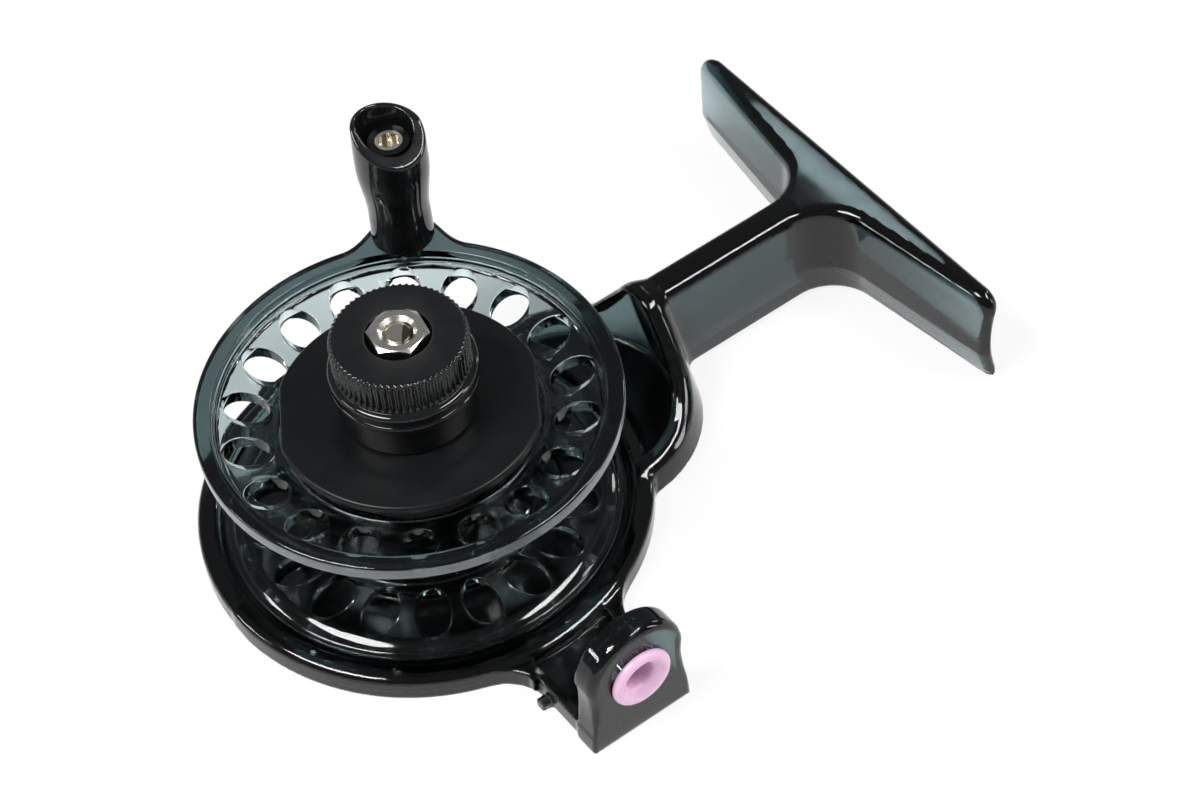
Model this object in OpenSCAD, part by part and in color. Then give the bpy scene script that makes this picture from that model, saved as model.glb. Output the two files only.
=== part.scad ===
// Ice fishing reel: a spool turns on an axle in a one-piece frame with a rod foot and a line guide.
// Origin: on the spool axis, on the back face. +X runs along the arm to the foot, +Z along the axle.

/* [Spool] */
// Radius of the upper flange
flange_r = 27.5; // [25.5:0.25:28]
// Height of the upper flange's raised rim
flange_t = 2.25; // [1.8:0.05:3]
// Width of the raised rim
flange_rim_w = 2.5; // [1.6:0.1:2.8]
// Width of the ledge inside the raised rim
ledge_w = 0.6; // [0.3:0.1:0.8]
// Height of that ledge above the web
ledge_h = 0.5; // [0.2:0.1:0.6]
// Drop from the rim's top to the outer edge of the sloping web
web_drop = 2.1; // [1.6:0.1:2.4]
// Drop of the web from its outer edge to its foot
web_dish = 2; // [1:0.1:2.4]
// Width of the flat foot between the web and the seat under the drag
web_foot_w = 1.4; // [0.8:0.1:1.8]
// Thickness of the upper flange's web
web_t = 1.9; // [1.2:0.1:2.1]
// How far the raised seat under the drag reaches past the drum
seat_w = 1.5; // [0.8:0.1:1.8]
// Drop from the rim's top to that seat
seat_drop = 2.4; // [1.8:0.1:2.8]
// Radius of the lower flange
lower_flange_r = 26.2; // [25:0.1:27]
// Height of the lower flange's rim
lower_flange_t = 2.2; // [1.8:0.1:2.8]
// Width of the lower flange's flat rim
lower_rim_w = 1.0; // [0.6:0.1:1.4]
// Thickness of the lower flange's web
lower_web_t = 1.2; // [0.9:0.1:1.5]
// Clear width between the two flange rims, for the line
line_gap = 16.85; // [15.5:0.05:19]
// Radius of the drum that the line winds on
drum_r = 14.5; // [13.5:0.1:14.9]
// Wall of the drum
drum_wall = 1.8; // [1.2:0.1:2.4]
// Thickness of the drum's closed end
drum_end_t = 3; // [2.4:0.1:3.6]
// Outer radius of the spool's hub
hub_r = 6; // [5.2:0.1:7]
// Number of oval holes in each flange
hole_count = 18; // [12:1:20]
// Turn of the rings of holes from the handle
hole_turn = 1.5; // [0:0.5:10]
// Width of an oval hole
hole_w = 4.8; // [3.6:0.1:5]
// Distance from the web's foot to the inner ends of the upper holes
hole_foot = 0.9; // [0.5:0.1:1.6]
// Distance from the raised rim to the outer ends of the upper holes
hole_edge = 0.7; // [0.7:0.1:2]
// Distance from the drum to the inner ends of the lower holes
lower_hole_foot = 0.9; // [0.7:0.1:2.5]
// Distance from the lower flange's edge to the outer ends of the lower holes
lower_hole_edge = 3.2; // [2.8:0.1:4.2]

/* [Body] */
// Radial gap between the lower flange and the body's rim
body_gap = 1; // [0.6:0.1:1.6]
// Width of the body's rim
body_rim_w = 2.8; // [2:0.1:3.4]
// Height of the body's rim
body_h = 3.6; // [3:0.1:4]
// Thickness of the body's floor
floor_t = 1.5; // [1.2:0.1:2]
// Gap between the floor and the spool
under_gap = 0.4; // [0.3:0.1:0.8]
// Inner radius of the groove in the floor
groove_in_r = 15.2; // [12:0.1:16]
// Outer radius of that groove
groove_out_r = 18.4; // [17.5:0.1:20]
// Depth of that groove
groove_depth = 0.7; // [0.3:0.1:0.8]
// Radius of the boss that holds the axle
boss_r = 6.5; // [6:0.1:8]
// Height of that boss
boss_h = 4; // [3.6:0.1:4.6]

/* [Scoop, arm and foot] */
// Distance from the spool axis to the centre of the scoop
scoop_x = 24.4; // [23.4:0.1:25.4]
// Outer radius of the scoop at the back face
scoop_r = 17.4; // [16.6:0.1:18.2]
// Outer radius of the scoop at the arm's top
scoop_top_r = 13.8; // [12.8:0.1:15]
// Wall of the scoop
scoop_wall = 2.6; // [2:0.1:3.2]
// Height of the scoop's lip where it leaves the body
scoop_lip_h = 4.2; // [3.8:0.1:5]
// Angle at which the scoop's edges fall away beside the arm
scoop_slope = 53; // [45:1:60]
// Height of the arm's top face
arm_top = 16.5; // [15:0.1:18]
// Height of the arm's bottom face
arm_bottom = 0.6; // [0.4:0.1:1.4]
// Width of the arm
arm_w = 5.5; // [4.6:0.1:6.6]
// Radius of the fillets between the arm and the foot
foot_fillet = 6; // [4:0.25:8]
// Distance from the spool axis to the foot's outer edges
foot_x = 72.8; // [68:0.1:78]
// Length of the foot
foot_len = 62; // [54:0.5:70]
// Thickness of the foot at the arm
foot_root_t = 5.6; // [4.6:0.1:7]
// Thickness of the foot at its ends
foot_tip_t = 2.6; // [2.4:0.1:4]
// How far the foot's inner face is set back at the bottom
foot_back = 1.4; // [0:0.1:1.4]
// Height below which the foot's inner face slopes back
part_line_h = 5.8; // [4:0.1:8]
// Width of the rounding along the arm's and the foot's top edges
edge_w = 0.9; // [0.4:0.1:1]
// Height of that rounding
edge_h = 1.6; // [0.8:0.1:2.4]
// Length of the rounding at the foot's ends, as a multiple of its width
tip_stretch = 3; // [1:0.5:4]
// Width of the small rounding along the bottom edges
bottom_edge = 0.3; // [0.2:0.05:0.4]
// Radius of the saddle that lies along the rod
saddle_r = 20; // [16:0.5:24]
// Depth of the saddle
saddle_depth = 1; // [0.6:0.1:1.2]

/* [Line guide] */
// Sideways place of the guide
guide_x = 1.4; // [0:0.1:3]
// Distance from the spool axis to the guide's front face
guide_y = 45.2; // [43:0.1:50]
// Thickness of the guide plate
plate_t = 3.8; // [2.8:0.1:4.4]
// Width of the plate and of the tab that carries it
tab_w = 14.4; // [13.4:0.1:16]
// Height of the plate's top
plate_top = 18.6; // [17:0.1:20]
// Height of the tab's side walls
tab_h = 3; // [2.4:0.1:3.6]
// Thickness of the tab's side walls
tab_wall = 1.4; // [1:0.1:2]
// Radius of the fillets between the tab and the body
tab_fillet = 5; // [3:0.25:6]
// Side of the small line stop on the tab
stop_size = 1.4; // [1:0.1:2]
// Height of the ring's centre
ring_z = 10.6; // [9.6:0.1:11.6]
// Radius of the hole that the line runs through
ring_hole_r = 2; // [1.5:0.1:2.3]
// Radius of the ring's stem in the plate
ring_stem_r = 3.2; // [2.9:0.1:3.5]
// Radius of the ring's flange
ring_flange_r = 4.3; // [4:0.1:4.8]
// Thickness of the ring's flange
ring_flange_t = 1.2; // [0.9:0.1:1.5]

/* [Axle and bearings] */
// Radius of the axle
axle_r = 3; // [2.6:0.1:3.2]
// Size of the axle's flats, from one to the other
axle_flats = 4.6; // [4.3:0.1:4.8]
// Radius of the axle's threaded end
thread_r = 2; // [1.8:0.1:2.1]
// Size of the axle's hexagonal head, across flats
head_af = 8; // [7.6:0.1:9]
// Thickness of the axle's head
head_t = 2; // [1.6:0.1:2.4]
// Outer radius of the steel washer on the boss
axle_washer_r = 5.5; // [5.2:0.1:6]
// Thickness of that washer
axle_washer_t = 0.5; // [0.4:0.1:0.8]
// Outer radius of the retaining ring
clip_r = 4.8; // [4.4:0.1:5.1]
// Thickness of the retaining ring
clip_t = 0.6; // [0.5:0.1:0.8]
// Depth of the groove that holds the retaining ring
clip_groove = 0.4; // [0.3:0.05:0.6]
// Outer radius of the thrust washer
thrust_r = 5.8; // [5.2:0.1:6]
// Thickness of the thrust washer
thrust_t = 0.8; // [0.6:0.1:1.2]
// Wall of the two bushes
bush_wall = 1.2; // [0.9:0.1:1.5]
// Length of the two bushes
bush_len = 4; // [3:0.1:5]
// Running clearance on the axle, on the radius
run_clear = 0.05; // [0.03:0.01:0.08]
// Play between faces that turn on each other
face_clear = 0.05; // [0.04:0.01:0.1]

/* [Drag] */
// Outer radius of the friction washer
friction_r = 13.8; // [12:0.1:14]
// Inner radius of the friction washer
friction_in_r = 5.2; // [4.8:0.1:6]
// Thickness of the friction washer
friction_t = 0.7; // [0.5:0.1:0.9]
// Radius of the pressure plate
drag_plate_r = 17.3; // [17:0.1:18]
// Distance from the axle to the pressure plate's flats
drag_plate_flat = 16.5; // [16.1:0.1:16.7]
// Direction of the pressure plate's flats
drag_plate_angle = -32; // [-90:1:90]
// Thickness of the pressure plate
drag_plate_t = 1.3; // [1:0.1:1.8]
// Chamfer of the pressure plate's edge
drag_plate_chamfer = 0.3; // [0.2:0.05:0.4]
// Radius of the drag knob's ribbed top
knob_r = 8.9; // [8.6:0.1:9.3]
// Depth of the knob's ribs
rib_depth = 0.35; // [0.2:0.05:0.5]
// Number of the knob's ribs
rib_count = 64; // [48:1:80]
// Radius of the knob's skirt
skirt_r = 9.1; // [8.8:0.1:9.3]
// How far the knob's lip stands out from the skirt
lip_out = 0.5; // [0.3:0.1:0.8]
// Thickness of the knob above its hollow
knob_cap_t = 4.6; // [4.2:0.1:5.4]
// Height of the knob's ribbed band
rib_h = 4.9; // [4:0.1:5.4]
// Height of the knob's lip
lip_h = 2.4; // [1.6:0.1:2.8]
// Wall of the knob's skirt
skirt_wall = 1.5; // [1.2:0.1:1.8]
// Depth of the knob's hollow
cavity_h = 8.3; // [7.6:0.1:8.6]
// Gap between the keyed washer and the knob's skirt
keyed_gap = 0.6; // [0.4:0.1:0.9]
// Thickness of the keyed washer
keyed_t = 0.65; // [0.5:0.05:0.8]
// Upward travel of the knob from tight to loose
drag_travel = 1.05; // [0.7:0.05:1.1]
// Size of the drag nut, across flats
nut_af = 7; // [6.6:0.1:7.4]
// Thickness of the drag nut
nut_t = 3.2; // [2.8:0.1:3.2]
// How far the nut stands above the knob
nut_proud = 0.8; // [0.5:0.1:1]
// Turn of the nut's corners at the tight end of the drag
nut_angle = 20; // [0:1:59]
// How far the axle's end lies below the nut's top
thread_recess = 0.5; // [0.3:0.1:0.9]
// Mean radius of the drag spring
spring_r = 5.3; // [5:0.1:5.8]
// Radius of the spring's wire
spring_wire_r = 0.45; // [0.35:0.05:0.6]
// Number of the spring's turns
spring_turns = 5; // [4:0.5:6]

/* [Handle] */
// Distance from the upper flange's edge to the handle's axis
handle_out = 0.5; // [0:0.1:1.5]
// Direction of the handle seen from above
handle_angle = 56.5; // [0:0.5:359]
// Radius of the lug under the handle
lug_r = 4.7; // [4.4:0.1:5.4]
// Radius of the fillets between the lug and the flange
lug_fillet = 4; // [3:0.25:6]
// Radius of the lug's boss
lug_boss_r = 3.6; // [3.3:0.1:4]
// Length of the lug's boss below the flange
lug_boss_drop = 1.3; // [1:0.1:2]
// Height of the handle knob
handle_h = 20.8; // [19.4:0.1:24]
// Radius of the handle knob at its foot
handle_foot_r = 4.2; // [3.9:0.05:4.5]
// Radius of the handle knob at its waist
handle_waist_r = 4.1; // [3.8:0.05:4.4]
// Height of that waist
handle_waist_h = 5.5; // [4:0.5:7]
// Radius of the handle knob where it is widest
handle_wide_r = 4.85; // [4.6:0.05:5.2]
// Height at which it is widest
handle_wide_h = 14; // [12:0.5:16]
// Radius of the handle knob at its top
handle_top_r = 4.65; // [4.4:0.05:5]
// Angle of the handle knob's sloping top
handle_slope = 10; // [0:1:14]
// Direction in which that top slopes down, seen from above
handle_slope_angle = 330; // [0:1:359]
// Thickness of the handle washer
handle_washer_t = 0.4; // [0.3:0.1:0.6]
// Outer radius of the handle washer
handle_washer_r = 3.4; // [3.2:0.1:3.8]
// Radius of the handle screw's thread
screw_r = 1.5; // [1.3:0.05:1.55]
// Radius of the handle screw's head
screw_head_r = 2.75; // [2.6:0.05:2.9]
// Height of the handle screw's head
screw_head_h = 2.6; // [2:0.1:3]
// Size of the screw's hexagonal socket, across flats
screw_socket_af = 2.5; // [2:0.1:2.8]
// Depth of that socket
screw_socket_h = 1.4; // [1:0.1:1.8]
// Outer radius of the sleeve that the handle knob turns on
sleeve_r = 2.2; // [2:0.05:2.3]
// Length of that sleeve
sleeve_len = 15; // [13.6:0.1:15.4]
// Outer radius of the threaded insert
insert_r = 2.4; // [2.2:0.05:2.6]
// Radial clearance around the screw's head
head_clear = 0.35; // [0.25:0.05:0.5]

/* [Hidden] */
$fn = 96;
// Overlap that joins solids and clears cut faces
lap = 0.2;
// A length longer than any piece
far = 200;
// Clearance around surfaces that never touch
free_clear = 0.2;

// Body and spool heights
body_in_r = lower_flange_r + body_gap;
body_r = body_in_r + body_rim_w;
spool_z = floor_t + under_gap;
lower_top_z = spool_z + lower_flange_t;
upper_z = lower_top_z + line_gap;
rim_top_z = upper_z + flange_t;
rim_in_r = flange_r - flange_rim_w;
seat_r = drum_r + seat_w;
web_in_r = seat_r + web_foot_w;
web_edge_z = rim_top_z - web_drop;
web_foot_z = web_edge_z - web_dish;
seat_z = rim_top_z - seat_drop;
hole_in_r = web_in_r + hole_foot;
hole_out_r = rim_in_r - hole_edge;
lower_hole_in_r = drum_r + lower_hole_foot;
lower_hole_out_r = lower_flange_r - lower_hole_edge;

// Knob radii and height
lip_r = skirt_r + lip_out;
cavity_r = skirt_r - skirt_wall;
keyed_r = cavity_r - keyed_gap;
knob_h = cavity_h + knob_cap_t;

// Heights up the axle
washer_z = boss_h;
clip_z = washer_z + axle_washer_t;
thrust_z = clip_z + clip_t + face_clear;
hub_z = thrust_z + thrust_t + face_clear;
friction_z = seat_z - friction_t;
plate_z = seat_z + face_clear;
plate_top_z = plate_z + drag_plate_t;
knob_z = plate_top_z + face_clear;
cavity_top_z = knob_z + cavity_h;
keyed_z = cavity_top_z - face_clear - keyed_t;
flats_top_z = cavity_top_z + drag_travel;
flats_hole_z = flats_top_z + free_clear;
knob_top_z = knob_z + knob_h;
nut_z = knob_top_z + nut_proud - nut_t;
axle_top_z = knob_top_z + nut_proud - thread_recess;
flats_z = plate_z - free_clear;

// Heights up the handle, and its distance from the spool axis
handle_x = flange_r + handle_out;
handle_washer_z = rim_top_z;
sleeve_z = handle_washer_z + handle_washer_t;
screw_head_z = sleeve_z + sleeve_len;
handle_z = sleeve_z + face_clear;
counterbore_z = screw_head_z - face_clear;
insert_z = upper_z - lug_boss_drop;

// Points along an arc, from angle a to angle b
function arc(cx, cy, r, a, b, steps = 10) =
    [for (i = [0 : steps]) let (t = a + (b - a) * i / steps) [cx + r * cos(t), cy + r * sin(t)]];

// Points of an oval whose long axis lies along X
function oval(cx, long_r, short_r, steps = 16) =
    [for (i = [0 : steps - 1]) [cx + long_r * cos(360 * i / steps), short_r * sin(360 * i / steps)]];

// Radius of a hexagon's corners from its size across flats
function hex_r(af) = af / 2 / cos(30);

// Flat ring between two radii
module ring(outer_r, inner_r, h) {
    difference() {
        cylinder(r = outer_r, h = h);
        translate([0, 0, -lap]) cylinder(r = inner_r, h = h + 2 * lap);
    }
}

// Round bar with two flats, used for the axle's key and for the bores that slide on it
module keyed_bar(r, flats, h) {
    intersection() {
        cylinder(r = r, h = h);
        translate([-r - lap, -flats / 2, 0]) cube([2 * (r + lap), flats, h]);
    }
}

// Ring of oval holes, as a flat outline
module oval_holes(in_r, out_r) {
    for (i = [0 : hole_count - 1])
        rotate(handle_angle + hole_turn + i * 360 / hole_count)
            polygon(oval((in_r + out_r) / 2, (out_r - in_r) / 2, hole_w / 2));
}

// Places children on the handle's axis
module at_handle() {
    rotate(handle_angle) translate([handle_x, 0, 0]) children();
}

// Frame: body, scoop, arm, foot and guide bracket in one moulding

// Open dish that the spool turns in
module body_dish() {
    cylinder(r = body_r, h = floor_t);
    ring(body_r, body_in_r, body_h);
    cylinder(r = boss_r, h = boss_h);
}

// Ring-shaped groove in the dish's floor
module floor_groove() {
    translate([0, 0, floor_t - groove_depth]) ring(groove_out_r, groove_in_r, groove_depth + lap);
}

// Leaning round wall beside the body, as a solid from height z up, thinner than the scoop by wall
module scoop_cone(z, wall, top) {
    lean = (scoop_r - scoop_top_r) / arm_top;
    translate([scoop_x, 0, z])
        cylinder(r1 = scoop_r - wall - lean * z, r2 = scoop_r - wall - lean * top, h = top - z);
}

// Scoop seen along the arm: a low wall whose edges climb to the arm's top
module scoop_front() {
    peak = arm_w / 2;
    low = peak + (arm_top - scoop_lip_h) / tan(scoop_slope);
    polygon([[-far, 0], [far, 0], [far, scoop_lip_h], [low, scoop_lip_h], [peak, arm_top],
        [-peak, arm_top], [-low, scoop_lip_h], [-far, scoop_lip_h]]);
}

// Outline of the arm and the foot seen from above, drawn in by inset on every side.
// The foot's inner face is set back by back.
function arm_outline(inset, back) =
    let (half = arm_w / 2 - inset,
         start_x = scoop_x + scoop_top_r - scoop_wall,
         root_x = foot_x - foot_root_t + back + inset,
         tip_x = foot_x - foot_tip_t + back + inset,
         tip_y = foot_len / 2 - inset * tip_stretch,
         r = foot_fillet + inset)
    concat(
        [[start_x, -half]],
        arc(root_x - r, -half - r, r, 90, 0, 8),
        [[tip_x, -tip_y], [foot_x - inset, -tip_y], [foot_x - inset, tip_y], [tip_x, tip_y]],
        arc(root_x - r, half + r, r, 0, -90, 8),
        [[start_x, half]]);

// Levels of the arm and the foot from bottom to top, each as height, inset and set-back
function arm_levels(steps = 4) = concat(
    [[arm_bottom, bottom_edge, foot_back], [arm_bottom + bottom_edge, 0, foot_back], [part_line_h, 0, 0]],
    [for (i = [0 : steps]) let (t = 90 * i / steps)
        [arm_top - edge_h * (1 - sin(t)), edge_w * (1 - cos(t)), 0]]);

// Solid through outlines that lie above each other and have equal numbers of points.
// Each outline mirrors itself about the X axis, so its caps are strips between mirrored points.
module stack(outlines, heights) {
    n = len(outlines[0]);
    last = len(outlines) - 1;
    points = [for (i = [0 : last], p = outlines[i]) [p[0], p[1], heights[i]]];
    walls = [for (i = [0 : last - 1], k = [0 : n - 1])
        let (a = i * n + k, b = i * n + (k + 1) % n) each [[a, a + n, b], [b, a + n, b + n]]];
    strips = [for (k = [0 : n / 2 - 2]) [k, k + 1, n - 2 - k, n - 1 - k]];
    bottom = [for (q = strips) each [[q[0], q[1], q[2]], [q[0], q[2], q[3]]]];
    top = [for (t = bottom) [for (k = [2 : -1 : 0]) last * n + t[k]]];
    polyhedron(points, concat(walls, bottom, top));
}

// Arm and foot, with the rod's saddle along the foot's outer side
module arm_and_foot() {
    levels = arm_levels();
    mid_z = (arm_top + arm_bottom) / 2;
    difference() {
        stack([for (v = levels) arm_outline(v[1], v[2])], [for (v = levels) v[0]]);
        translate([foot_x - saddle_depth + saddle_r, foot_len / 2 + lap, mid_z])
            rotate([90, 0, 0]) cylinder(r = saddle_r, h = foot_len + 2 * lap);
    }
}

// Scoop with the arm that grows out of it
module scoop_and_arm() {
    difference() {
        union() {
            intersection() {
                scoop_cone(0, 0, arm_top);
                rotate([90, 0, 90]) linear_extrude(far) scoop_front();
            }
            arm_and_foot();
        }
        scoop_cone(floor_t, scoop_wall, arm_top + lap);
        translate([0, 0, -lap]) cylinder(r = body_in_r + lap, h = far);
    }
}

// Tab that joins the body and the guide plate, seen from above
module tab_plan() {
    reach = body_r + tab_fillet;
    side = tab_w / 2 + tab_fillet;
    left_y = -sqrt(pow(reach, 2) - pow(guide_x - side, 2));
    right_y = -sqrt(pow(reach, 2) - pow(guide_x + side, 2));
    left_a = atan2(-left_y, side - guide_x);
    right_a = atan2(-right_y, -side - guide_x);
    polygon(concat(
        [[guide_x, -body_in_r], [guide_x - side, left_y] * (body_in_r + lap) / reach],
        arc(guide_x - side, left_y, tab_fillet, left_a, 0),
        [[guide_x - tab_w / 2, -guide_y], [guide_x + tab_w / 2, -guide_y]],
        arc(guide_x + side, right_y, tab_fillet, 180, right_a),
        [[guide_x + side, right_y] * (body_in_r + lap) / reach]));
}

// Guide plate seen from the front, with a round top
module plate_outline() {
    polygon(concat(
        [[guide_x - tab_w / 2, 0], [guide_x + tab_w / 2, 0]],
        arc(guide_x, plate_top - tab_w / 2, tab_w / 2, 0, 180, 24)));
}

// Channel-shaped tab, upright plate and a small line stop
module guide_bracket() {
    well_w = tab_w - 2 * tab_wall;
    well_y = -guide_y + plate_t;
    stop_y = well_y + 2 * plate_t;
    difference() {
        linear_extrude(tab_h) tab_plan();
        translate([guide_x - well_w / 2, well_y, floor_t]) cube([well_w, -well_y - body_r + lap, far]);
    }
    translate([0, well_y, 0]) rotate([90, 0, 0]) linear_extrude(plate_t) plate_outline();
    translate([guide_x - tab_w / 2 - stop_size, stop_y, 0])
        cube([stop_size + tab_wall / 2, stop_size, stop_size]);
}

module frame() {
    color("darkslategray")
        difference() {
            union() {
                body_dish();
                scoop_and_arm();
                guide_bracket();
            }
            floor_groove();
            translate([0, 0, -lap]) cylinder(r = axle_r, h = boss_h + 2 * lap);
            translate([0, 0, -lap]) cylinder(r = hex_r(head_af), h = head_t + lap, $fn = 6);
            translate([guide_x, -guide_y + plate_t + lap, ring_z])
                rotate([90, 0, 0]) cylinder(r = ring_stem_r, h = plate_t + 2 * lap);
        }
}

// Guide ring: a stem pressed into the plate, with a rounded flange in front
module guide_ring() {
    round_r = ring_flange_t / 2;
    mouth_r = (ring_flange_r - ring_hole_r) / 3;
    color("plum")
        translate([guide_x, -guide_y, ring_z]) rotate([90, 0, 0]) rotate_extrude()
            polygon(concat(
                [[ring_hole_r, -plate_t], [ring_stem_r, -plate_t], [ring_stem_r, 0], [ring_flange_r, 0]],
                arc(ring_flange_r - round_r, ring_flange_t - round_r, round_r, 0, 90, 5),
                arc(ring_hole_r + mouth_r, ring_flange_t - mouth_r, mouth_r, 90, 180, 5)));
}

// Axle and what holds it in the frame

module axle() {
    point_h = thread_r / 4;
    thread_end_z = axle_top_z - point_h;
    color("silver")
        difference() {
            union() {
                cylinder(r = hex_r(head_af), h = head_t, $fn = 6);
                cylinder(r = axle_r, h = flats_z);
                translate([0, 0, flats_z - lap]) keyed_bar(axle_r, axle_flats, flats_top_z - flats_z + lap);
                translate([0, 0, flats_z]) cylinder(r = thread_r, h = thread_end_z - flats_z);
                translate([0, 0, thread_end_z])
                    cylinder(r1 = thread_r, r2 = thread_r - point_h, h = point_h);
            }
            translate([0, 0, clip_z]) ring(axle_r + lap, axle_r - clip_groove, clip_t);
        }
}

module axle_washer() {
    color("gainsboro") translate([0, 0, washer_z]) ring(axle_washer_r, axle_r, axle_washer_t);
}

// Retaining ring, open on one side so that it springs into the axle's groove
module axle_clip() {
    color("dimgray")
        translate([0, 0, clip_z]) difference() {
            ring(clip_r, axle_r - clip_groove, clip_t);
            translate([0, -axle_r / 2, -lap]) cube([far, axle_r, clip_t + 2 * lap]);
        }
}

module thrust_washer() {
    color("ivory") translate([0, 0, thrust_z]) ring(thrust_r, axle_r, thrust_t);
}

// Spool and the pieces that turn with it

// Upper flange seen from above, with the lug under the handle
module flange_plan() {
    reach = flange_r + lug_fillet;
    lug_reach = lug_r + lug_fillet;
    fillet_x = (pow(reach, 2) - pow(lug_reach, 2) + pow(handle_x, 2)) / (2 * handle_x);
    fillet_y = sqrt(pow(reach, 2) - pow(fillet_x, 2));
    in_a = atan2(-fillet_y, -fillet_x);
    out_a = atan2(-fillet_y, handle_x - fillet_x);
    fillet = arc(fillet_x, fillet_y, lug_fillet - lap / 10, 360 + in_a, 360 + out_a);
    circle(r = flange_r);
    rotate(handle_angle) {
        translate([handle_x, 0]) circle(r = lug_r);
        polygon(concat(
            [[handle_x - lug_r, 0]],
            [for (p = fillet) [p[0], -p[1]]],
            [[handle_x + lug_r / 2, 0]],
            [for (i = [len(fillet) - 1 : -1 : 0]) fillet[i]]));
    }
}

// Upper flange: holed sloping web, ledge, seat for the drag and raised rim with the handle's lug
module upper_flange() {
    root_r = drum_r - drum_wall / 2;
    ledge_r = rim_in_r - ledge_w;
    difference() {
        rotate_extrude() polygon([[root_r, web_foot_z - web_t], [web_in_r, web_foot_z - web_t],
            [ledge_r, web_edge_z - web_t], [rim_in_r + lap, web_edge_z - web_t],
            [rim_in_r + lap, web_edge_z + ledge_h], [ledge_r, web_edge_z + ledge_h],
            [ledge_r, web_edge_z], [web_in_r, web_foot_z], [seat_r, web_foot_z],
            [seat_r, seat_z], [root_r, seat_z]]);
        linear_extrude(far) oval_holes(hole_in_r, hole_out_r);
    }
    translate([0, 0, upper_z]) difference() {
        linear_extrude(flange_t) flange_plan();
        translate([0, 0, -lap]) cylinder(r = rim_in_r, h = flange_t + 2 * lap);
    }
}

// Lower flange: holed web that curves up to a narrow flat rim
module lower_flange() {
    rim_in = lower_flange_r - lower_rim_w;
    rise = lower_flange_t - lower_web_t;
    dish_in = lower_hole_out_r + lower_rim_w / 2;
    linear_extrude(lower_web_t) difference() {
        circle(r = rim_in);
        circle(r = drum_r - drum_wall / 2);
        oval_holes(lower_hole_in_r, lower_hole_out_r);
    }
    rotate_extrude() polygon(concat(
        [[dish_in, 0], [lower_flange_r, 0], [lower_flange_r, lower_flange_t]],
        [for (i = [6 : -1 : 0])
            let (t = 90 * i / 6)
                [rim_in - (rim_in - dish_in) * (1 - sin(t)), lower_flange_t - rise * cos(t)]]));
}

// Hollow drum, closed at the top, with the hub that holds the bushes
module drum() {
    drum_h = seat_z - spool_z;
    ring(drum_r, drum_r - drum_wall, drum_h);
    translate([0, 0, drum_h - drum_end_t]) cylinder(r = drum_r - drum_wall / 2, h = drum_end_t);
    translate([0, 0, hub_z - spool_z]) cylinder(r = hub_r, h = drum_h - (hub_z - spool_z));
}

module spool() {
    bush_r = axle_r + run_clear + bush_wall;
    color("darkslategray")
        difference() {
            union() {
                translate([0, 0, spool_z]) lower_flange();
                translate([0, 0, spool_z]) drum();
                upper_flange();
                at_handle() translate([0, 0, insert_z]) cylinder(r = lug_boss_r, h = rim_top_z - insert_z);
            }
            translate([0, 0, friction_z]) cylinder(r = friction_r + face_clear, h = friction_t + lap);
            translate([0, 0, hub_z - lap]) cylinder(r = axle_r + lap, h = far);
            translate([0, 0, hub_z - lap]) cylinder(r = bush_r, h = bush_len + lap);
            translate([0, 0, friction_z - bush_len]) cylinder(r = bush_r, h = bush_len + lap);
            at_handle() translate([0, 0, insert_z - lap]) cylinder(r = insert_r, h = far);
        }
}

// Plain bush that lines one end of the spool's hub
module bush() {
    ring(axle_r + run_clear + bush_wall, axle_r + run_clear, bush_len);
}

module lower_bush() {
    color("goldenrod") translate([0, 0, hub_z]) bush();
}

module upper_bush() {
    color("goldenrod") translate([0, 0, friction_z - bush_len]) bush();
}

module friction_washer() {
    color("tan") translate([0, 0, friction_z]) ring(friction_r, friction_in_r, friction_t);
}

// Drag: pressure plate, spring, keyed washer, knob and nut

module pressure_plate() {
    top_r = drag_plate_r - drag_plate_chamfer;
    straight_t = drag_plate_t - drag_plate_chamfer;
    color("black")
        translate([0, 0, plate_z]) difference() {
            intersection() {
                rotate_extrude() polygon([[0, 0], [drag_plate_r, 0], [drag_plate_r, straight_t],
                    [top_r, drag_plate_t], [0, drag_plate_t]]);
                rotate(drag_plate_angle) translate([-drag_plate_flat, -far / 2, -lap])
                    cube([2 * drag_plate_flat, far, drag_plate_t + 2 * lap]);
            }
            translate([0, 0, -lap])
                keyed_bar(axle_r + run_clear, axle_flats + 2 * run_clear, drag_plate_t + 2 * lap);
        }
}

// Points of the spring's centre line: one flat turn at each end and an even climb between
spring_h = keyed_z - plate_top_z - 2 * face_clear;
spring_rise = spring_h - 2 * spring_wire_r;
function spring_point(t) =
    [spring_r * cos(360 * t), spring_r * sin(360 * t), spring_wire_r + spring_rise * t / spring_turns];
function spring_ring(t, sides) =
    [for (k = [0 : sides - 1]) let (u = 360 * k / sides, r = spring_r + spring_wire_r * cos(u))
        [r * cos(360 * t), r * sin(360 * t), spring_point(t)[2] + spring_wire_r * sin(u)]];

module drag_spring() {
    sides = 6;
    steps = 8 * spring_turns;
    points = [for (i = [0 : steps]) each spring_ring(i / 8, sides)];
    walls = [for (i = [0 : steps - 1], k = [0 : sides - 1])
        let (a = i * sides + k, b = i * sides + (k + 1) % sides)
            each [[a, b, a + sides], [b, b + sides, a + sides]]];
    start_cap = [for (k = [1 : sides - 2]) [0, k + 1, k]];
    end_cap = [for (k = [1 : sides - 2]) steps * sides * [1, 1, 1] + [0, k, k + 1]];
    echo(spring_least_gap = spring_rise / spring_turns - 2 * spring_wire_r);
    color("lightsteelblue") translate([0, 0, plate_top_z + face_clear])
        polyhedron(points, concat(walls, start_cap, end_cap));
}

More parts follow.
